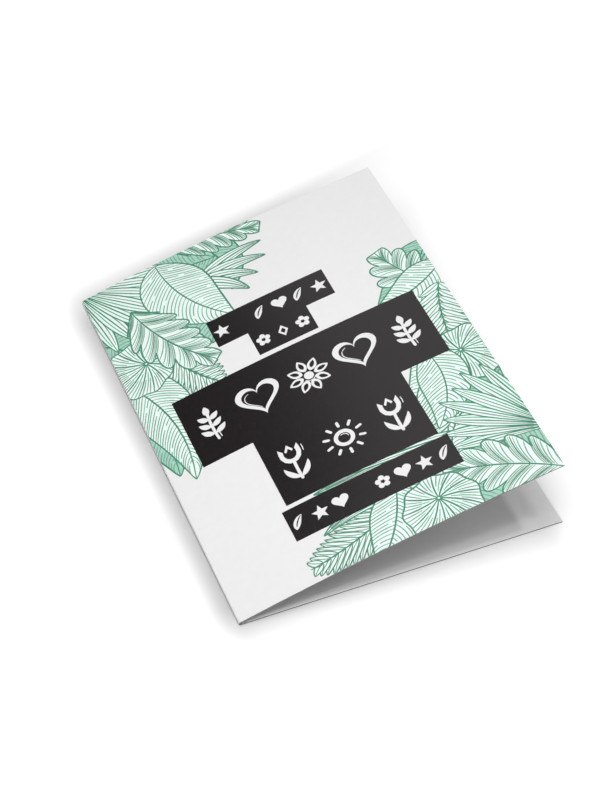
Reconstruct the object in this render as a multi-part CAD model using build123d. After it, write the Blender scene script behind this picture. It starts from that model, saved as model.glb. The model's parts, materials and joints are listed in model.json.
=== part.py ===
"""A greeting card: one printed sheet of card, folded once.

It lies on its back leaf, with the fold along the left long edge and the cover
half raised by the spring of the fold. Millimetres, +Z up, +Y along the fold.
"""

import os
from math import radians

from build123d import *

# The flat sheet, an A5 sheet that folds down to A6
sheet_length = 210.0            # across the fold, measured along the middle of the card
sheet_height = 148.0            # along the fold
card_thickness = 0.35           # a stiff card of about 300 g/m2

# The fold
fold_off_middle = 1.0           # the cover is wider, and the back leaf narrower, by this much
fold_inside_radius = 0.3        # a scored card folds tight, but never to a knife edge
crease_bead_rise = 0.12         # how far the rib that scoring raises fills the inside of the fold

# How the cover stands
opening_angle = 16.7            # degrees between the leaves, right at the fold
cover_turns = (2.3, 2.3, 1.4)   # degrees the cover bows back in each third of its width

# Worked out from the sizes above
fold_middle_radius = fold_inside_radius + card_thickness / 2
fold_turn = 180 - opening_angle
fold_length = fold_middle_radius * radians(fold_turn)
back_leaf_length = sheet_length / 2 - fold_off_middle - fold_length / 2
cover_length = sheet_length / 2 + fold_off_middle - fold_length / 2
cover_stretch = cover_length / len(cover_turns)


def sheet_face(offset):
    """One face of the sheet in section, as a chain of tangent runs from the back
    leaf's free edge, round the fold and out along the cover. The offset is from the
    middle of the card, and it is positive on the printed side."""
    height = -fold_middle_radius - offset
    with BuildLine() as face:
        leaf = Line((back_leaf_length, height), (0, height))
        run = JernArc(leaf @ 1, leaf % 1, fold_middle_radius + offset, -fold_turn)
        for turn in cover_turns:
            radius = cover_stretch / radians(turn)
            run = JernArc(run @ 1, run % 1, radius + offset, -turn)
    return face.line


def card_section():
    """The sheet cut square across the fold, with its two trimmed edges square to
    its faces and the scored rib filling the root of the fold."""
    printed = sheet_face(card_thickness / 2)
    inside = sheet_face(-card_thickness / 2)
    with BuildSketch() as section:
        with BuildLine():
            add(printed)
            add(inside)
            Line(printed @ 0, inside @ 0)
            Line(printed @ 1, inside @ 1)
        make_face()
        Circle(fold_inside_radius + crease_bead_rise)
    return section.sketch


def folded_card():
    """The section drawn out along the fold, set down with the back leaf on Z = 0 and
    the middle of the footprint at the origin."""
    card = extrude(Plane.XZ * card_section(), sheet_height / 2, both=True)
    box = card.bounding_box()
    return Pos(-box.center().X, -box.center().Y, -box.min.Z) * card


os.makedirs("parts", exist_ok=True)
export_step(folded_card(), "parts/folded_card.step")
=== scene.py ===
"""Dresses a folded greeting card: the sheet of card, and the print on its cover."""

import json
import math
import random

import bmesh
import bpy
from mathutils import Matrix, Vector
from mathutils.geometry import delaunay_2d_cdt

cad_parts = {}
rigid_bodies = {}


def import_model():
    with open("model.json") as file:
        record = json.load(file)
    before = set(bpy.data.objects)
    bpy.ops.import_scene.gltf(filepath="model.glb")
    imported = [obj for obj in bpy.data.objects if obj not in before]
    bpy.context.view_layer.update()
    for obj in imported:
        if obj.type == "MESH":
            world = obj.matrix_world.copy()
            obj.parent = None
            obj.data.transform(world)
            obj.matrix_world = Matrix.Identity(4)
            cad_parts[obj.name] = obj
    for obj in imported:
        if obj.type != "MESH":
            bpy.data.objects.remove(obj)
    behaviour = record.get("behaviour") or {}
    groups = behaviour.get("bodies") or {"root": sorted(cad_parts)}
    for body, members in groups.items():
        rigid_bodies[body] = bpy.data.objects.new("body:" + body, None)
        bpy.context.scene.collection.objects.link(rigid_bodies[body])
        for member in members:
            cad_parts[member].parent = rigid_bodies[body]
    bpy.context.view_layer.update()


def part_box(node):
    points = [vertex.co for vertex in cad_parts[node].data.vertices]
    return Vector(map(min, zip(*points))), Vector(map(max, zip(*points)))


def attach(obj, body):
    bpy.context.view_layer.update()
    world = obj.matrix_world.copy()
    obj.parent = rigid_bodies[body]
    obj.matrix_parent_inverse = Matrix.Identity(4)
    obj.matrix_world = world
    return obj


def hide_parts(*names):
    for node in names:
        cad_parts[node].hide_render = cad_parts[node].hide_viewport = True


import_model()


# The sheet of card
# One A5 sheet of smooth white card, trimmed square, scored and folded once. The back
# leaf lies flat, and the spring of the fold holds the cover a little open and bowed.
mm = 0.001
sheet_length = 210 * mm
card_thickness = 0.35 * mm
fold_off_middle = 1 * mm
fold_inside_radius = 0.3 * mm
crease_bead_rise = 0.12 * mm
opening_angle = math.radians(16.7)
cover_turns = [math.radians(turn) for turn in (2.3, 2.3, 1.4)]
fold_steps = 24
cover_steps = 60
smooth_up_to = math.radians(30)
square_on = 0.9
fibre_scale = (2600, 900, 2600)
fibre_depth = 0.03 * mm
# Painted shade on the cut edge: how high above the table it fades out, and its darkest share at the
# bottom
painted_shade_height = 1 * mm
painted_shade_darkest = 0.2

half_card = card_thickness / 2
fold_turn = math.pi - opening_angle
fold_radius = fold_inside_radius + half_card
fold_length = fold_radius * fold_turn
back_leaf_length = sheet_length / 2 - fold_off_middle - fold_length / 2
cover_length = sheet_length / 2 + fold_off_middle - fold_length / 2
cover_stretch = cover_length / len(cover_turns)

low_corner, high_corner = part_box("folded_card")
fold_axis = Vector((low_corner.x, 0, low_corner.z)) + Vector((1, 0, 1)) * (
    fold_radius + half_card)
sheet_height = high_corner.y - low_corner.y


def follow(points, heading, length, turn, steps):
    """Adds a run to a line of points in section, turning right at an even rate."""
    half_step = turn / steps / 2
    chord = length / steps * (math.sin(half_step) / half_step if turn else 1)
    for _ in range(steps):
        heading -= half_step
        points.append(points[-1] + chord * Vector((math.cos(heading), 0, math.sin(heading))))
        heading -= half_step
    return heading


def cover_face(offset):
    """The cover in section from the end of the fold to its free edge, at a distance
    from the middle of the card that is positive on the printed side."""
    reach = fold_radius + offset
    points = [fold_axis + reach * Vector((-math.sin(opening_angle), 0, math.cos(opening_angle)))]
    heading = opening_angle
    for turn in cover_turns:
        length = cover_stretch + offset * turn
        heading = follow(points, heading, length, turn, cover_steps)
    return points


def fold_face():
    """The outside of the fold in section, from the back leaf round to the cover."""
    reach = fold_radius + half_card
    points = [fold_axis - reach * Vector((0, 0, 1))]
    follow(points, math.pi, reach * fold_turn, fold_turn, fold_steps)
    return points


def crease_bead():
    """The rib that scoring leaves in the root of the fold, from the cover to the back."""
    reach = fold_inside_radius + crease_bead_rise
    lean = math.acos(fold_inside_radius / reach)
    start, end = math.pi / 2 + opening_angle - lean, lean - math.pi / 2
    angles = [start + (end - start) * step / fold_steps for step in range(fold_steps + 1)]
    return [fold_axis + reach * Vector((math.cos(a), 0, math.sin(a))) for a in angles]


back_edge = fold_axis + Vector((back_leaf_length, 0, -fold_radius))
upright = Vector((0, 0, half_card))
section_line = [back_edge - upright] + fold_face() + cover_face(half_card)[1:]
section_line += cover_face(-half_card)[:0:-1] + crease_bead() + [back_edge + upright]


def line_object(name, points, closed):
    """A curve of straight steps, for a node tree to read."""
    curve = bpy.data.curves.new(name, "CURVE")
    curve.dimensions = "3D"
    spline = curve.splines.new("POLY")
    spline.points.add(len(points) - 1)
    for place, point in zip(spline.points, points):
        place.co = (*point, 1)
    spline.use_cyclic_u = closed
    return bpy.data.objects.new(name, curve)


def new_tree(name, inputs):
    """A Geometry Nodes tree with a geometry in, a geometry out and the named inputs."""
    tree = bpy.data.node_groups.new(name, "GeometryNodeTree")
    tree.interface.new_socket(name="Geometry", in_out="INPUT", socket_type="NodeSocketGeometry")
    for label, kind in inputs.items():
        tree.interface.new_socket(name=label, in_out="INPUT", socket_type="NodeSocket" + kind)
    tree.interface.new_socket(name="Geometry", in_out="OUTPUT", socket_type="NodeSocketGeometry")
    return tree, tree.nodes.new("NodeGroupInput"), tree.nodes.new("NodeGroupOutput")


def node(tree, kind, links=None, **settings):
    """A node with its settings, and each input that is named linked or set."""
    made = tree.nodes.new(kind)
    for setting, value in settings.items():
        setattr(made, setting, value)
    for label, source in (links or {}).items():
        if isinstance(source, bpy.types.NodeSocket):
            tree.links.new(source, made.inputs[label])
        else:
            made.inputs[label].default_value = source
    return made


def end_in_material(tree, given, result, geometry):
    """The end of a tree: real geometry, in the material that it is given."""
    whole = node(tree, "GeometryNodeRealizeInstances", {"Geometry": geometry})
    coloured = node(tree, "GeometryNodeSetMaterial", {
        "Geometry": whole.outputs["Geometry"], "Material": given.outputs["Material"]})
    tree.links.new(coloured.outputs["Geometry"], result.inputs["Geometry"])


def run_tree(obj, tree, values, thickness=0):
    """Puts an object through a tree, thickens what comes out, and keeps the plain mesh,
    which is smooth apart from its sharp edges."""
    modifier = obj.modifiers.new(tree.name, "NODES")
    modifier.node_group = tree
    for label, value in values.items():
        modifier[tree.interface.items_tree[label].identifier] = value
    if thickness:
        shell = obj.modifiers.new("thickness", "SOLIDIFY")
        shell.thickness = thickness
        shell.offset = 1
    bpy.context.scene.collection.objects.link(obj)
    graph = bpy.context.evaluated_depsgraph_get()
    mesh = bpy.data.meshes.new_from_object(obj.evaluated_get(graph), depsgraph=graph)
    mesh.shade_smooth()
    mesh.set_sharp_from_angle(angle=smooth_up_to)
    name = obj.name
    bpy.data.batch_remove([obj, obj.data])
    mesh.name = name
    made = bpy.data.objects.new(name, mesh)
    bpy.context.scene.collection.objects.link(made)
    return made


def fold_sheet_tree():
    """Draws the section of the sheet out along the fold, closed at both ends."""
    tree, given, result = new_tree(
        "fold_sheet", {"Height": "Float", "Material": "Material"})
    ends = [node(tree, "ShaderNodeMath", {0: given.outputs["Height"], 1: share},
                 operation="MULTIPLY").outputs[0] for share in (-0.5, 0.5)]
    low, high = [node(tree, "ShaderNodeCombineXYZ", {"Y": end}).outputs[0] for end in ends]
    fold_line = node(tree, "GeometryNodeCurvePrimitiveLine", {"Start": low, "End": high})
    aligned = node(tree, "GeometryNodeSetCurveNormal", {"Curve": fold_line.outputs["Curve"]},
                   mode="Z_UP")
    laid_down = node(tree, "GeometryNodeTransform", {
        "Geometry": given.outputs["Geometry"], "Rotation": (math.pi / 2, 0, 0)})
    drawn = node(tree, "GeometryNodeCurveToMesh", {
        "Curve": aligned.outputs["Curve"],
        "Profile Curve": laid_down.outputs["Geometry"],
        "Fill Caps": True})
    end_in_material(tree, given, result, drawn.outputs["Mesh"])
    return tree


def new_material(name, roughness, gloss):
    """A material, its tree, its shader, and the place on the piece that patterns read."""
    material = bpy.data.materials.new(name)
    material.use_nodes = True
    tree = material.node_tree
    shader = tree.nodes["Principled BSDF"]
    shader.inputs["Roughness"].default_value = roughness
    shader.inputs["Specular IOR Level"].default_value = gloss
    return material, tree, shader, tree.nodes.new("ShaderNodeTexCoord").outputs["Object"]


def mottled(tree, place, scale, detail, dark, pale, ends=(0, 1)):
    """Two tones that run into each other in small clouds, and the clouds themselves."""
    clouds = node(tree, "ShaderNodeTexNoise", {
        "Vector": place, "Scale": scale, "Detail": detail}).outputs["Fac"]
    tones = node(tree, "ShaderNodeValToRGB", {"Fac": clouds})
    for stop, position, colour in zip(tones.color_ramp.elements, ends, (dark, pale)):
        stop.position = position
        stop.color = colour
    return tones.outputs["Color"], clouds


def raise_fibres(tree, shader, place, strength):
    """Raises the fibres, which lie along the fold as the card was made."""
    laid = node(tree, "ShaderNodeMapping", {"Vector": place, "Scale": fibre_scale})
    fibres = node(tree, "ShaderNodeTexNoise", {
        "Vector": laid.outputs["Vector"], "Scale": 1.0, "Detail": 3.0, "Roughness": 0.6})
    bump = node(tree, "ShaderNodeBump", {
        "Height": fibres.outputs["Fac"], "Strength": strength, "Distance": fibre_depth})
    tree.links.new(bump.outputs["Normal"], shader.inputs["Normal"])


def grey(level):
    """A grey that sends back this share of the light."""
    return level, level, level, 1


def card_stock():
    """Smooth uncoated card: fine fibres, a faint mottle and a low sheen."""
    material, tree, shader, place = new_material("card_stock", roughness=0.62, gloss=0.35)
    white, _ = mottled(tree, place, 420, 4, grey(0.80), grey(0.84))
    tree.links.new(white, shader.inputs["Base Color"])
    raise_fibres(tree, shader, place, strength=0.25)
    return material


def cut_edge():
    """Where the sheet is trimmed its raw fibres show, greyer and rougher than its faces, and
    darker still as painted shade. It is darkest at the bottom, as painted shade close above the
    table."""
    material, tree, shader, place = new_material("cut_edge", roughness=0.9, gloss=0.2)
    raw, _ = mottled(tree, place, 5000, 2, grey(0.26), grey(0.46))
    # Painted shade: the edge is darker towards the bottom, darkest where it meets the table
    height = node(tree, "ShaderNodeSeparateXYZ", {"Vector": place}).outputs["Z"]
    painted_shade_factor = node(tree, "ShaderNodeMapRange", {
        "Value": height, "From Max": painted_shade_height, "To Min": painted_shade_darkest})
    painted_shade_edge = node(tree, "ShaderNodeVectorMath", {
        0: raw, "Scale": painted_shade_factor.outputs["Result"]}, operation="SCALE")
    tree.links.new(painted_shade_edge.outputs["Vector"], shader.inputs["Base Color"])
    return material


section = line_object("card_sheet", section_line, closed=True)
sheet = run_tree(section, fold_sheet_tree(), {"Height": sheet_height, "Material": card_stock()})
sheet.data.materials.append(cut_edge())
for face in sheet.data.polygons:
    trimmed_side = face.normal.x > square_on and face.center.x > 0
    trimmed_end = abs(face.normal.y) > square_on
    if trimmed_side or trimmed_end:
        face.material_index = 1
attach(sheet, "root")
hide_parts("folded_card")


# The drawing on the cover
# Line drawings of leaves fill two corners of the cover, printed in a few tones of green
# and grey. The drawing is laid out flat, in millimetres: along from the crest of the fold,
# and up (times 1j) from the lower edge of the card.
pen_width = 0.55
fine_pen_width = 0.39
rib_pitch = 1.5
rib_wander = 0.12
rib_reach = 0.985
layers = []
hand = random.Random(31)


def shares(steps):
    """Even shares of a way from 0 to 1."""
    return [step / steps for step in range(steps + 1)]


def eased(steps):
    """Shares of a way that lie closer together towards its two ends."""
    return [(1 - math.cos(math.pi * share)) / 2 for share in shares(steps)]


def paint(ink, outline):
    """Lays a field of ink over what is drawn so far, its outline turned anticlockwise."""
    area = sum((point.conjugate() * after).imag
               for point, after in zip(outline, outline[1:] + outline[:1]))
    layers.append((ink, outline if area > 0 else outline[::-1]))


def bent(start, end, bow):
    """A line pushed to its left by a share of its length, as a function that gives the
    point at a share of the way along it and at a distance to its left."""
    run = end - start

    def at(share, aside=0.0):
        heading = run * (1 + 4j * bow * (1 - 2 * share))
        place = start + run * (share + 4j * bow * share * (1 - share))
        return place + aside * heading * 1j / abs(heading)
    return at


def band(path, widths):
    """The outline of a line along a path, with its width at each point."""
    last = len(path) - 1
    left, right = [], []
    for step, (point, width) in enumerate(zip(path, widths)):
        heading = path[min(step + 1, last)] - path[max(step - 1, 0)]
        aside = heading * 1j / abs(heading) * width / 2
        left.append(point + aside)
        right.append(point - aside)
    return right + left[::-1]


def stroke(ink, path, width=fine_pen_width, fine=0.35):
    """A pen line along a path, fullest in its middle and finer towards its ends."""
    width *= hand.uniform(0.88, 1.12)
    swells = [math.sin(math.pi * (step + 0.5) / len(path)) ** 0.5 for step in range(len(path))]
    paint(ink, band(path, [width * (fine + (1 - fine) * swell) for swell in swells]))


def broken_stroke(ink, path):
    """A fine line where the pen is lifted once."""
    lift = hand.randrange(2, len(path) - 1)
    for part in (path[:lift], path[lift:]):
        stroke(ink, part, fine=0.6)


def leaf_shape(half_width, fullness, sharpness):
    """How far a leaf's edge stands off its midrib. It is widest before the middle where
    the fullness is under 1, and its ends are rounder where the sharpness is less."""
    def reach(share):
        return half_width * max(math.sin(math.pi * share ** fullness), 0) ** sharpness
    return reach


def between(edges):
    """The outline of a leaf: up its one edge and back down the other."""
    return edges[0] + edges[1][-2:0:-1]


def leaf_field(at, reach, tint, steps=24):
    """Tints a leaf along its midrib, and gives its two edges from base to tip."""
    edges = [[at(share, side * reach(share)) for share in eased(steps)] for side in (1, -1)]
    paint(tint, between(edges))
    return edges


def draw_round(at, edges, weight=1.0):
    """Goes over a leaf's edges and its midrib with the broad pen."""
    for edge in edges:
        stroke("teal", edge, pen_width * weight, fine=0.6)
    stroke("teal", [at(share) for share in shares(10)], pen_width * weight, fine=0.3)


def ribbed_leaf(base, tip, bow, half_width, tint="mint"):
    """A smooth-edged leaf whose close ribs curve to its edges, like a plantain lily's."""
    at = bent(base, tip, bow)
    reach = leaf_shape(half_width, fullness=0.72, sharpness=0.8)
    edges = leaf_field(at, reach, tint)
    ribs = int(abs(tip - base) / rib_pitch)
    for side in (1, -1):
        for rib in range(1, ribs):
            part = (rib + hand.uniform(-rib_wander, rib_wander)) / ribs
            # A rib leaves the midrib at its root and runs forward to its end on the edge
            root, end = 0.9 * part ** 1.25, 0.012 + 0.97 * part ** 0.8
            path = []
            for share in shares(7):
                along = root + (end - root) * share ** 1.25
                path.append(at(along, side * reach(along) * share * rib_reach))
            pen = broken_stroke if rib % 4 == 3 else stroke
            pen(("green", "grey")[rib % 2], path)
    draw_round(at, edges)


def turned(turn):
    """The direction at a share of a full turn from straight along."""
    return complex(math.cos(2 * math.pi * turn), math.sin(2 * math.pi * turn))


# The veins of a round leaf in turn: how far out each starts, its ink and its width
round_veins = [(0.03, "teal", pen_width), (0.5, "grey", fine_pen_width),
               (0.28, "green", fine_pen_width), (0.5, "grey", fine_pen_width)]
half_rim = 36


def round_leaf(centre, radius, stalk_way, waves=9, rays=52):
    """A round leaf with a wavy rim, whose veins spread from a stalk off its middle."""
    phase = hand.uniform(0, 2 * math.pi)

    def rim(turn):
        wave = 0.035 * math.sin(waves * 2 * math.pi * turn + phase)
        return centre + radius * (1 + wave) * turned(turn)

    stalk = centre + 0.28 * radius * turned(stalk_way)
    edge = [rim(share) for share in shares(2 * half_rim)]
    paint("mint", edge[:-1])
    for ray in range(rays):
        start, ink, width = round_veins[ray % len(round_veins)]
        vein = bent(stalk, rim((ray + hand.uniform(-rib_wander, rib_wander)) / rays), 0.05)
        stroke(ink, [vein(start + (rib_reach - start) * share) for share in shares(6)], width)
    for half in (edge[:half_rim + 1], edge[half_rim:]):
        stroke("teal", half, pen_width, fine=0.75)


def fan_leaf(hub, way, radius, spread, blades):
    """A fan of pleated blades from one point, the middle ones on top."""
    for blade in sorted(range(blades), key=lambda number: -abs(number - (blades - 1) / 2)):
        side = 2 * blade / (blades - 1) - 1
        length = radius * (0.86 + 0.14 * math.cos(side * math.pi / 2)) * hand.uniform(0.95, 1.03)
        at = bent(hub, hub + length * turned(way + side * spread / 2), -0.03 * side)
        reach = leaf_shape(radius * spread * math.tau / blades * 0.40, fullness=1.55, sharpness=0.8)
        edges = leaf_field(at, reach, "mint", steps=16)
        for ink, pleat in (("green", -0.5), ("grey", 0.5)):
            stroke(ink, [at(share, pleat * reach(share)) for share in shares(10)[2:-1]])
        draw_round(at, edges, weight=0.85)


def fern_frond(base, tip, bow, half_width, pairs):
    """Leaflets in pairs along a bent rib, the longest a third of the way up."""
    at = bent(base, tip, bow)
    leaflet_shape = leaf_shape(abs(tip - base) / pairs * 0.44, fullness=0.8, sharpness=0.7)
    for pair in range(pairs):
        start = 0.04 + 0.93 * pair / pairs
        size = math.sin(math.pi * (0.12 + 0.86 * start) ** 0.8) ** 0.75
        for side in (1, -1):
            end = at(start + 0.2 * size + 0.02, side * half_width * size * hand.uniform(0.93, 1.05))
            leaflet = bent(at(start), end, side * -0.06)
            edges = leaf_field(leaflet, leaflet_shape, "mint", steps=10)
            stroke("grey", [leaflet(share) for share in shares(4)])
            for edge in edges:
                stroke("teal", edge, pen_width * 0.75, fine=0.4)
    stroke("teal", [at(share) for share in shares(10)], pen_width, fine=0.3)


# The ribs of a lobe: how far across it each ends, its ink, and its share of the broad pen
lobe_ribs = [(0.12, "grey", 0.7), (0.28, "green", 0.72), (0.4, "grey", 0.5), (0.5, "teal", 0.8),
             (0.6, "grey", 0.5), (0.72, "green", 0.72), (0.88, "grey", 0.7)]
lobe_steps = 12


def lobed_leaf(base, tip, bow, half_width, lobes):
    """A broad leaf cut into round lobes that lean forward, with ribs fanned in each."""
    at = bent(base, tip, bow)
    reach = leaf_shape(half_width, fullness=0.7, sharpness=0.75)

    def margin(share, side):
        swell = math.sin(math.pi * (share * lobes % 1)) ** 0.55
        along = min(share + 0.55 * swell / lobes, 1)
        return at(along, side * reach(share) * (0.58 + 0.42 * swell))

    edges = [[margin(share, side) for share in shares(lobes * lobe_steps)] for side in (1, -1)]
    paint("mint", between(edges))
    for side in (1, -1):
        for lobe in range(lobes):
            for place, ink, width in lobe_ribs:
                if lobe + place > lobes - 0.25:
                    continue
                root = at(max((lobe + 0.75 * place - 0.425) / lobes, 0.01))
                rib = bent(root, margin((lobe + place) / lobes, side), side * -0.07)
                first = 0.0 if ink == "teal" else 0.06
                path = [rib(first + (0.95 - first) * share) for share in shares(6)]
                stroke(ink, path, pen_width * width)
    starts = range(0, lobes * lobe_steps, lobe_steps)
    draw_round(at, [edge[start:start + lobe_steps + 1] for edge in edges for start in starts])


def blade_leaf(base, tip, bow, half_width):
    """A long narrow leaf with veins that run its whole length."""
    at = bent(base, tip, bow)
    reach = leaf_shape(half_width, fullness=0.62, sharpness=0.7)
    edges = leaf_field(at, reach, "mint")
    veins = max(round(half_width), 2)
    for vein in range(1 - veins, veins):
        if vein:
            path = [at(share, reach(share) * vein / veins) for share in shares(12)[1:-1]]
            stroke(("green", "grey")[vein % 2], path)
    draw_round(at, edges)


# The leaves' places
# The back leaves come first and the whole ones in front last. The upper left bunch hangs
# from the top edge and the fold, and the lower right one climbs from the foot. Most leaves
# are given by base and tip, how far they bow to their left, and half their width.
def leaves_by_the_fold():
    """The upper left bunch."""
    ribbed_leaf(40+150j, 46+122j, 0.15, 8, "shade")
    ribbed_leaf(-4+98j, 4+60j, 0.1, 8, "shade")
    ribbed_leaf(20+150j, 14+100j, 0.1, 12, "shade")
    ribbed_leaf(30+126j, 32+104j, 0.15, 7, "shade")
    ribbed_leaf(16+154j, 46+139j, 0.1, 9, "shade")
    ribbed_leaf(-6+128j, 9+112j, 0.1, 7, "shade")
    for tip in (62+137j, 61+130j, 56+124j, 51+119j):
        blade_leaf(37+131j, tip, 0.07, 2.5)
    lobed_leaf(33+150j, 64+143j, 0.06, 8, lobes=6)
    fern_frond(16+117j, 29+87j, -0.08, 9, pairs=13)
    ribbed_leaf(-3+110j, 8+56j, 0.12, 10)
    fan_leaf(-2+155j, way=-0.15, radius=38, spread=0.27, blades=10)
    round_leaf(7+108j, 11.5, stalk_way=0.05)
    ribbed_leaf(27+147j, 43+111j, -0.10, 11.5)
    lobed_leaf(13+133j, 31+97j, -0.07, 10, lobes=6)


def leaves_at_the_foot():
    """The lower right bunch."""
    ribbed_leaf(109+107j, 84+88j, 0.1, 9, "shade")
    ribbed_leaf(106+70j, 80+50j, 0.1, 12, "shade")
    ribbed_leaf(106+44j, 78+34j, 0.1, 11, "shade")
    ribbed_leaf(110+28j, 76+14j, 0.1, 13, "shade")
    ribbed_leaf(64+16j, 50-6j, 0.1, 12, "shade")
    ribbed_leaf(104+10j, 70-2j, 0.1, 12, "shade")
    ribbed_leaf(102+68j, 76+46j, 0.08, 10)
    ribbed_leaf(84+52j, 79+24j, 0.1, 7)
    lobed_leaf(108+82j, 92+110j, 0.06, 10.5, lobes=6)
    ribbed_leaf(110+96j, 83+87j, 0.1, 8)
    fern_frond(105+88j, 98+57j, -0.06, 9, pairs=10)
    round_leaf(101+55j, 11.5, stalk_way=0.38)
    blade_leaf(84+33j, 37+29.6j, 0.02, 2.6)
    blade_leaf(86+27j, 44+31.5j, -0.03, 2.2)
    ribbed_leaf(89+63j, 80+32j, 0.14, 8)
    ribbed_leaf(108+26j, 80+20j, -0.15, 9)
    fan_leaf(111+15j, way=0.35, radius=37, spread=0.22, blades=9)
    fern_frond(68+18j, 26+5j, 0.06, 8.5, pairs=16)
    blade_leaf(70+16j, 34+14j, -0.1, 3)
    lobed_leaf(108-2j, 74+16j, -0.06, 11, lobes=6)
    ribbed_leaf(60+20j, 43-6j, 0.08, 8)
    round_leaf(69+5j, 12, stalk_way=0.25)


leaves_by_the_fold()
leaves_at_the_foot()


# The black strips
# Five black strips lie over the leaves in the middle of the cover, like lengths of
# embossed label tape. Each is a row of equal spaces, and the bare card shows as a white
# mark in nearly every one.
strip_middle = 53.7
large_pitch, small_pitch = 16.89, 6.89
large_mark, small_mark = 13.4, 5.6
mark_line = 1.35


def loop(middle, radius, steps=28):
    """A circle as an outline."""
    return [middle + radius * turned(share) for share in shares(steps)[:-1]]


def bare_line(path, width):
    """A white line with round ends and slightly uneven edges."""
    paint("bare", band(path, [width * hand.uniform(0.94, 1.06) for _ in path]))
    for end in (path[0], path[-1]):
        paint("bare", loop(end, width / 2, 12))


def echo(path):
    """The faint second line that a worn punch presses beside a stroke."""
    stroke("bare", path, width=0.34, fine=0.3)


def bare_ring(outer, inner):
    """A white shape with a black one inside it."""
    paint("bare", outer)
    paint("black", inner)


def petal(base, tip, half_width, bow=0.0):
    """The outline of a small leaf or petal."""
    at = bent(base, tip, bow)
    reach = leaf_shape(half_width, fullness=0.85, sharpness=0.8)
    return between([[at(share, side * reach(share)) for share in shares(14)] for side in (1, -1)])


def heart_outline(middle, size, steps=48):
    """The usual heart curve, 32 wide and 29 high before it is scaled. It is stepped from
    half a step on, because the curve all but stops in the notch and at the tip."""
    points = []
    for share in shares(steps)[:-1]:
        once, twice, thrice, four_times = [turned(times * (share + 0.5 / steps))
                                           for times in (1, 2, 3, 4)]
        x = 16 * once.imag ** 3
        y = 13 * once.real - 5 * twice.real - 2 * thrice.real - four_times.real + 2.5
        points.append(middle + size * complex(x, y) / 29)
    return points


def heart(middle, size):
    """A broad white line in the shape of a heart."""
    bare_ring(heart_outline(middle, size), heart_outline(middle + 0.012j * size, size * 0.74))
    echo(heart_outline(middle - 0.01j * size, size * 0.62)[27:41])


def daisy(middle, size):
    """Eight hollow petals round a white middle."""
    for number in range(8):
        way = turned((number + 0.25) / 8)
        bare_ring(petal(middle + 0.15 * size * way, middle + 0.54 * size * way, 0.115 * size),
                  petal(middle + 0.24 * size * way, middle + 0.47 * size * way, 0.055 * size))
    paint("bare", loop(middle, 0.12 * size))
    echo([middle + 0.165 * size * turned(share / 3 + 0.6) for share in shares(8)])


def sprig(middle, size):
    """A stem with a leaf at its tip and three pairs below."""
    stem = bent(middle - 0.52j * size, middle + 0.3j * size, 0.03)
    bare_line([stem(share) for share in shares(8)], mark_line * 0.7)
    paint("bare", petal(stem(0.95), stem(0.95) + 0.29j * size, 0.085 * size))
    for start in (0.22, 0.5, 0.78):
        for side in (1, -1):
            root = stem(start)
            tip = root + size * (0.3 * side + 0.2j) * (1.08 - 0.3 * start)
            paint("bare", petal(root + (tip - root) * 0.06, tip, 0.075 * size, -0.08 * side))
    echo([stem(share, -1.15) for share in shares(6)[:3]])


def tulip(middle, size):
    """A hollow cup with three points, on a stem between two leaves."""
    half = [0j, 0.1+0.02j, 0.2+0.1j, 0.26+0.24j, 0.26+0.38j, 0.24+0.52j, 0.12+0.37j, 0.56j]
    cup = half + [-point.conjugate() for point in half[-2:0:-1]]
    middle_of_cup = 0.25j
    bare_ring([middle + size * (point - 0.02j) for point in cup],
              [middle + size * (middle_of_cup + (point - middle_of_cup) * 0.58) for point in cup])
    stem = bent(middle - 0.52j * size, middle, 0.02)
    bare_line([stem(share) for share in shares(6)], mark_line * 0.75)
    for side in (1, -1):
        paint("bare", petal(middle - 0.48j * size, middle + size * (0.3 * side - 0.08j),
                            0.07 * size, -0.12 * side))
    echo([middle + size * point for point in (0.31+0.2j, 0.32+0.3j, 0.315+0.4j)])


def sun(middle, size):
    """A ring with ten short rays."""
    outer, inner = 0.25 * size, 0.25 * size - mark_line
    bare_ring(loop(middle, outer), loop(middle, inner))
    for number in range(10):
        way = turned((number + 0.5) / 10)
        bare_line([middle + way * size * reach for reach in (0.37, 0.43, 0.48)], mark_line * 0.7)
    echo([middle + (inner - 0.5) * turned(share / 3) for share in shares(8)])


def star(middle, size):
    """A star with five points, set a little low so that it looks centred."""
    centre, reaches = middle - 0.03j * size, (0.52 * size, 0.23 * size)
    paint("bare", [centre + reaches[point % 2] * turned(0.25 + point / 10) for point in range(10)])


def diamond(middle, size):
    """A hollow diamond, taller than it is wide."""
    corners = (-0.44j, 0.31, 0.44j, -0.31)
    bare_ring([middle + size * corner for corner in corners],
              [middle + size * corner * 0.5 for corner in corners])


def small_heart(middle, size):
    """A filled heart."""
    paint("bare", heart_outline(middle, size * 0.88))


def small_flower(middle, size):
    """Five round petals with a black middle."""
    for number in range(5):
        paint("bare", loop(middle + 0.27 * size * turned(0.25 + number / 5), 0.17 * size, 16))
    paint("black", loop(middle, 0.1 * size, 14))


def small_leaf(middle, size):
    """A slanting leaf with a black midrib."""
    base, tip = middle - size * (0.3 + 0.42j), middle + size * (0.28 + 0.45j)
    paint("bare", petal(base, tip, 0.21 * size, 0.1))
    rib = bent(base, tip, 0.1)
    stroke("black", [rib(0.2 + 0.7 * share) for share in shares(8)], 0.45)


def strip(marks, low, high, pitch, size):
    """One strip, as long as its row of spaces. A space with no mark is a gap."""
    half_length = len(marks) * pitch / 2
    foot, head = strip_middle + low * 1j, strip_middle + high * 1j
    paint("black", [foot - half_length, foot + half_length, head + half_length, head - half_length])
    for number, mark in enumerate(marks):
        if mark:
            mark((foot + head) / 2 + pitch * (number + 0.5) - half_length, size)


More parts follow.
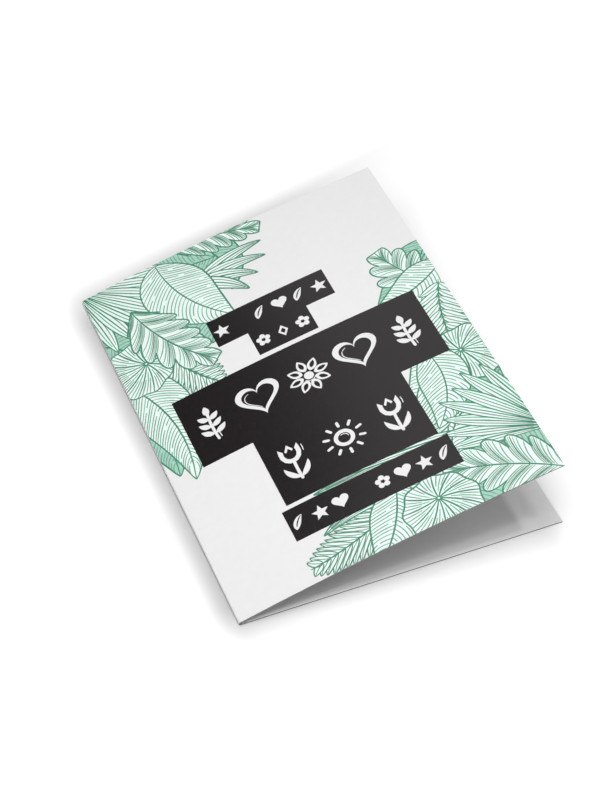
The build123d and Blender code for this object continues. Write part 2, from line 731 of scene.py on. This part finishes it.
strip([star, None, small_leaf, small_heart, small_leaf, star],
      101.1, 113.2, small_pitch, small_mark)
strip([small_flower, diamond, small_flower], 90.2, 101.1, small_pitch, small_mark)
strip([sprig, heart, daisy, heart, sprig], 58.8, 88.4, large_pitch, large_mark)
strip([tulip, sun, tulip], 30.5, 58.8, large_pitch, large_mark)
strip([small_leaf, star, small_heart, None, small_flower, small_heart, star, small_leaf],
      16.7, 29.0, small_pitch, small_mark)


# The ink
# Each tone is a thin film of ink that lies on the card beside the others, never over
# them. The films are thicker here than real ink, so that they stand clear of the card.
ink_sunk = 0.01 * mm
ink_thickness = 0.04 * mm
sheen_spread = 0.05
# The rest are millimetres on the flat drawing, as far as they are lengths. The films start
# just past the crest of the fold. They are cut where they have to bend, closely there and
# then in even steps across the cover.
first_ink = 0.4
fold_bends = [0.5, 0.6, 0.7, 0.8]
bend_step = 6.0
weld = 1e-5
straight_enough = math.radians(2)
map_margin = 1.0
rim_on_map = 0.12
ink_names = ["mint", "shade", "green", "grey", "teal", "black"]
crest_arc = (fold_radius + half_card) * math.pi / 2
printed_face = fold_face() + cover_face(half_card)[1:]
printed_width = (sum((after - point).length for point, after in zip(printed_face, printed_face[1:]))
                 - crest_arc) / mm
card_rise = sheet_height / mm


def inked_areas():
    """Cuts the flat drawing into areas of one ink each, by what was painted last there."""
    sheet_outline = [complex(x, y) for x, y in (
        (first_ink, 0), (printed_width, 0), (printed_width, card_rise), (first_ink, card_rise))]
    corners, outlines = [], []
    for ink, outline in [("bare", sheet_outline)] + layers:
        outlines.append(range(len(corners), len(corners) + len(outline)))
        corners += [Vector((point.real, point.imag)) for point in outline]
    places, _, pieces, _, _, painted = delaunay_2d_cdt(
        corners, [], [list(outline) for outline in outlines], 1, weld)
    areas = bmesh.new()
    dots = [areas.verts.new((*place, 0)) for place in places]
    for piece, fields in zip(pieces, painted):
        ink = layers[max(fields) - 1][0] if 0 in fields and max(fields) else "bare"
        if ink != "bare":
            areas.faces.new([dots[dot] for dot in piece]).material_index = ink_names.index(ink)
    areas.normal_update()
    bmesh.ops.dissolve_limit(areas, angle_limit=straight_enough, verts=areas.verts,
                             edges=areas.edges, delimit={"MATERIAL"})
    cover_bends = [step * bend_step for step in range(1, math.ceil(printed_width / bend_step))]
    for bend in fold_bends + cover_bends:
        bmesh.ops.bisect_plane(areas, geom=areas.verts[:] + areas.edges[:] + areas.faces[:],
                               plane_co=(bend, 0, 0), plane_no=(1, 0, 0))
    bmesh.ops.triangulate(areas, faces=areas.faces)
    return areas


def lay_on_cover_tree():
    """Lays a flat film along the printed face: X becomes the way along it in section."""
    tree, given, result = new_tree("lay_on_cover", {
        "Face": "Object", "Lift": "Float", "Material": "Material"})
    face = node(tree, "GeometryNodeObjectInfo", {"Object": given.outputs["Face"]})
    flat = node(tree, "ShaderNodeSeparateXYZ", {
        "Vector": tree.nodes.new("GeometryNodeInputPosition").outputs["Position"]})
    sample = node(tree, "GeometryNodeSampleCurve", {
        "Curves": face.outputs["Geometry"], "Length": flat.outputs["X"]}, mode="LENGTH")
    outward = node(tree, "ShaderNodeVectorMath", {
        0: sample.outputs["Tangent"], 1: (0, 1, 0)}, operation="CROSS_PRODUCT")
    raised = node(tree, "ShaderNodeVectorMath", {
        0: outward.outputs["Vector"], "Scale": given.outputs["Lift"]}, operation="SCALE")
    level = node(tree, "ShaderNodeCombineXYZ", {"Y": flat.outputs["Y"]})
    offset = node(tree, "ShaderNodeVectorMath", {
        0: raised.outputs["Vector"], 1: level.outputs["Vector"]}, operation="ADD")
    place = node(tree, "ShaderNodeVectorMath", {
        0: sample.outputs["Position"], 1: offset.outputs["Vector"]}, operation="ADD")
    laid = node(tree, "GeometryNodeSetPosition", {
        "Geometry": given.outputs["Geometry"], "Position": place.outputs["Vector"]})
    end_in_material(tree, given, result, laid.outputs["Geometry"])
    return tree


def on_map(place):
    """Where a place on the flat card lies on the square that the ink is mapped to."""
    return (place + Vector((map_margin, map_margin))) / (card_rise + 2 * map_margin)


def flat_film(name, areas, ink):
    """One ink's areas as a flat mesh in metres, mapped as they lie on the flat card."""
    film = areas.copy()
    others = [face for face in film.faces if face.material_index != ink_names.index(ink)]
    bmesh.ops.delete(film, geom=others, context="FACES")
    unused = [dot for dot in film.verts if not dot.link_faces]
    bmesh.ops.delete(film, geom=unused, context="VERTS")
    pinched = [dot for dot in film.verts if sum(edge.is_boundary for edge in dot.link_edges) > 2]
    for dot in pinched:
        bmesh.utils.vert_separate(dot, [])
    flat_map = film.loops.layers.uv.new("OFBake")
    for face in film.faces:
        face.material_index = 0
        for corner in face.loops:
            corner[flat_map].uv = on_map(corner.vert.co.xy)
    for dot in film.verts:
        dot.co = (dot.co.x * mm + crest_arc, dot.co.y * mm - sheet_height / 2, 0)
    mesh = bpy.data.meshes.new(name)
    film.to_mesh(mesh)
    film.free()
    return bpy.data.objects.new(name, mesh)


def give_rim_a_width(mesh):
    """Moves the foot of a film a little on its map, where its rim would have no width.
    Solidify leaves the points of the foot first, and adds those of the face after them."""
    foot = len(mesh.vertices) // 2
    step = on_map(Vector((rim_on_map, rim_on_map))) - on_map(Vector((0, 0)))
    for corner, place in zip(mesh.loops, mesh.uv_layers["OFBake"].uv):
        if corner.vertex_index < foot:
            place.vector += step


def tone(red, green, blue):
    """A colour as it looks on a screen, from 0 to 255, as the light it sends back."""
    return [((part / 255 + 0.055) / 1.055) ** 2.4 for part in (red, green, blue)] + [1]


def printed_ink(name, colour, paler, roughness):
    """Ink dried into card: slightly uneven in strength, over fibres that still show."""
    material, tree, shader, place = new_material(name, roughness, gloss=0.35)
    strength, clouds = mottled(tree, place, 900, 3, colour, paler, ends=(0.35, 0.65))
    tree.links.new(strength, shader.inputs["Base Color"])
    sheen = node(tree, "ShaderNodeMapRange", {
        "Value": clouds, "To Min": roughness - sheen_spread, "To Max": roughness + sheen_spread})
    tree.links.new(sheen.outputs["Result"], shader.inputs["Roughness"])
    raise_fibres(tree, shader, place, strength=0.15)
    return material


ink_tones = {
    "mint": (tone(230, 249, 241), tone(238, 252, 246), 0.6),
    "shade": (tone(158, 206, 186), tone(170, 214, 196), 0.6),
    "green": (tone(98, 172, 140), tone(110, 180, 150), 0.55),
    "grey": (tone(134, 152, 144), tone(144, 161, 153), 0.55),
    "teal": (tone(60, 132, 104), tone(70, 141, 113), 0.55),
    "black": (tone(22, 17, 18), tone(26, 20, 22), 0.25)}
face_line = line_object("printed_face", printed_face, closed=False)
bpy.context.scene.collection.objects.link(face_line)
areas = inked_areas()
laying = lay_on_cover_tree()
for ink in ink_names:
    finish = printed_ink("ink_" + ink, *ink_tones[ink])
    film = run_tree(flat_film("ink_" + ink, areas, ink), laying,
                    {"Face": face_line, "Lift": -ink_sunk, "Material": finish}, ink_thickness)
    give_rim_a_width(film.data)
    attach(film, "root")
areas.free()
bpy.data.objects.remove(face_line)


# The floor
# A plain white table top. Where it is only looked at it is whiter than white. It keeps the
# card's real shadow, and round the card it also has a painted soft shade, like the shade that a low
# object has on a white table.
floor_reach = 3.0
floor_white = 0.85
floor_seen = 1.228
shade_depth = 0.634
pure_white_starts, pure_white_full = 0.12, 0.4
card_left, card_right, card_end = low_corner.x, back_edge.x, high_corner.y
lower_end_of_fold = {"X": card_left, "Y": -card_end}
# Each side of the painted shade runs from a line where it starts to one where it is full. A line
# is given by how far past the card's edge it lies at the lower end of the fold, in
# millimetres, and by how much it leans from there.
shade_sides = [
    ("X", card_left, (-12.5, 0.0), (2.2, 0.006)),
    ("X", card_right, (1.5, 0.25), (-6.8, -0.4)),
    ("Y", -card_end, (-17.5, -0.073), (8.7, 0.3)),
    ("Y", card_end, (18.3, 0.191), (-13.1, 0.398))]


def card_shade(tree, flat):
    """How full the card's painted shade is at a place on the table, from 0 to 1."""
    shade = None
    for way, edge, *lines in shade_sides:
        other = "Y" if way == "X" else "X"
        corner = lower_end_of_fold[other]
        held = node(tree, "ShaderNodeMath", {0: flat.outputs[other], 1: corner},
                    operation="MAXIMUM")
        start, full = [node(tree, "ShaderNodeMath", {
            0: held.outputs["Value"], 1: lean, 2: edge + past * mm - lean * corner},
            operation="MULTIPLY_ADD").outputs["Value"] for past, lean in lines]
        side = node(tree, "ShaderNodeMapRange", {
            "Value": flat.outputs[way], "From Min": start, "From Max": full},
            interpolation_type="SMOOTHSTEP").outputs["Result"]
        shade = side if shade is None else node(
            tree, "ShaderNodeMath", {0: shade, 1: side}, operation="MULTIPLY").outputs["Value"]
    return shade


def table_white():
    """White where the camera sees it, but a plain pale floor to the light."""
    material, tree, shader, place = new_material("table_white", roughness=1, gloss=0)
    flat = node(tree, "ShaderNodeSeparateXYZ", {"Vector": place})
    # Painted shade round the card darkens the white that the camera sees
    seen = node(tree, "ShaderNodeMapRange", {
        "Value": card_shade(tree, flat), "To Min": floor_seen,
        "To Max": floor_seen * (1 - shade_depth)})
    path = tree.nodes.new("ShaderNodeLightPath")
    looked_at = path.outputs["Is Camera Ray"]
    for way in ("Is Glossy Ray", "Is Transmission Ray"):
        looked_at = node(tree, "ShaderNodeMath", {0: looked_at, 1: path.outputs[way]},
                         operation="MAXIMUM").outputs["Value"]
    white = node(tree, "ShaderNodeMapRange", {
        "Value": looked_at, "To Min": floor_white, "To Max": seen.outputs["Result"]})
    tree.links.new(white.outputs["Result"], shader.inputs["Base Color"])
    away = node(tree, "ShaderNodeVectorMath", {0: place}, operation="LENGTH")
    pure_white = node(tree, "ShaderNodeMapRange", {
        "Value": away.outputs["Value"], "From Min": pure_white_starts,
        "From Max": pure_white_full, "To Max": looked_at}, interpolation_type="SMOOTHSTEP")
    tree.links.new(pure_white.outputs["Result"], shader.inputs["Emission Strength"])
    shader.inputs["Emission Color"].default_value = grey(1)
    return material


floor = bpy.data.objects.new("floor", bpy.data.meshes.new("floor"))
floor.data.from_pydata([(x * floor_reach, y * floor_reach, 0)
                        for x, y in ((-1, -1), (1, -1), (1, 1), (-1, 1))], [], [(0, 1, 2, 3)])
floor.data.materials.append(table_white())
bpy.context.scene.collection.objects.link(floor)


# The light
# A soft box hangs low over the card in a white room, and a tall window behind puts a sheen
# on the black ink. Two small lamps, at the side and in front, give the cover's shade on the
# back leaf its faint edges.
def soft_box(name, place, width, height, power):
    """A flat lamp turned towards the middle of the card."""
    light = bpy.data.lights.new(name, "AREA")
    light.shape = "RECTANGLE"
    light.size = width
    light.size_y = height
    light.energy = power
    lamp = bpy.data.objects.new(name, light)
    turn = Vector(place).to_track_quat("Z", "Y").to_matrix().to_4x4()
    lamp.matrix_world = Matrix.Translation(Vector(place)) @ turn
    lamp.visible_camera = False
    bpy.context.scene.collection.objects.link(lamp)


def far_lamp(name, way, angle, power):
    """A small lamp so far off that all its light comes one way."""
    light = bpy.data.lights.new(name, "SUN")
    light.angle = math.radians(angle)
    light.energy = power
    lamp = bpy.data.objects.new(name, light)
    lamp.rotation_euler = Vector(way).to_track_quat("Z", "Y").to_euler()
    bpy.context.scene.collection.objects.link(lamp)


world = bpy.data.worlds.new("studio")
bpy.context.scene.world = world
world.use_nodes = True
room = world.node_tree.nodes["Background"]
room.inputs["Color"].default_value = grey(1)
room.inputs["Strength"].default_value = 0.177

soft_box("overhead", (-0.06, -0.05, 0.3), width=0.3, height=0.3, power=0.724)
soft_box("window", (0.068, 0.775, 0.778), width=0.3, height=1.0, power=1.177)
far_lamp("side", (0.445, -0.05, 1.0), angle=5, power=0.497)
far_lamp("front", (0.2, -0.22, 1.0), angle=6, power=0.305)


# The camera
# A long lens looks down at the card from 45 degrees up, a little to the left of its foot.
camera_distance = 719.6 * mm
camera_rise = math.radians(45.4)
camera_turn = math.radians(-20.64)
camera_roll = math.radians(-1.45)
frame_length_px = 800
focal_px = 2264.6
aim = Vector((-1.84 * mm, 4.41 * mm, 0))
back = Vector((math.sin(camera_turn) * math.cos(camera_rise),
               -math.cos(camera_turn) * math.cos(camera_rise), math.sin(camera_rise)))
level = Vector((math.cos(camera_turn), math.sin(camera_turn), 0))
across = Matrix.Rotation(camera_roll, 3, back) @ level
camera = bpy.data.objects.new("camera", bpy.data.cameras.new("camera"))
camera.matrix_world = Matrix.Translation(aim + back * camera_distance) @ Matrix(
    (across, back.cross(across), back)).transposed().to_4x4()
camera.data.lens = camera.data.sensor_width * focal_px / frame_length_px
bpy.context.scene.collection.objects.link(camera)
bpy.context.scene.camera = camera
bpy.context.scene.view_settings.view_transform = "Standard"
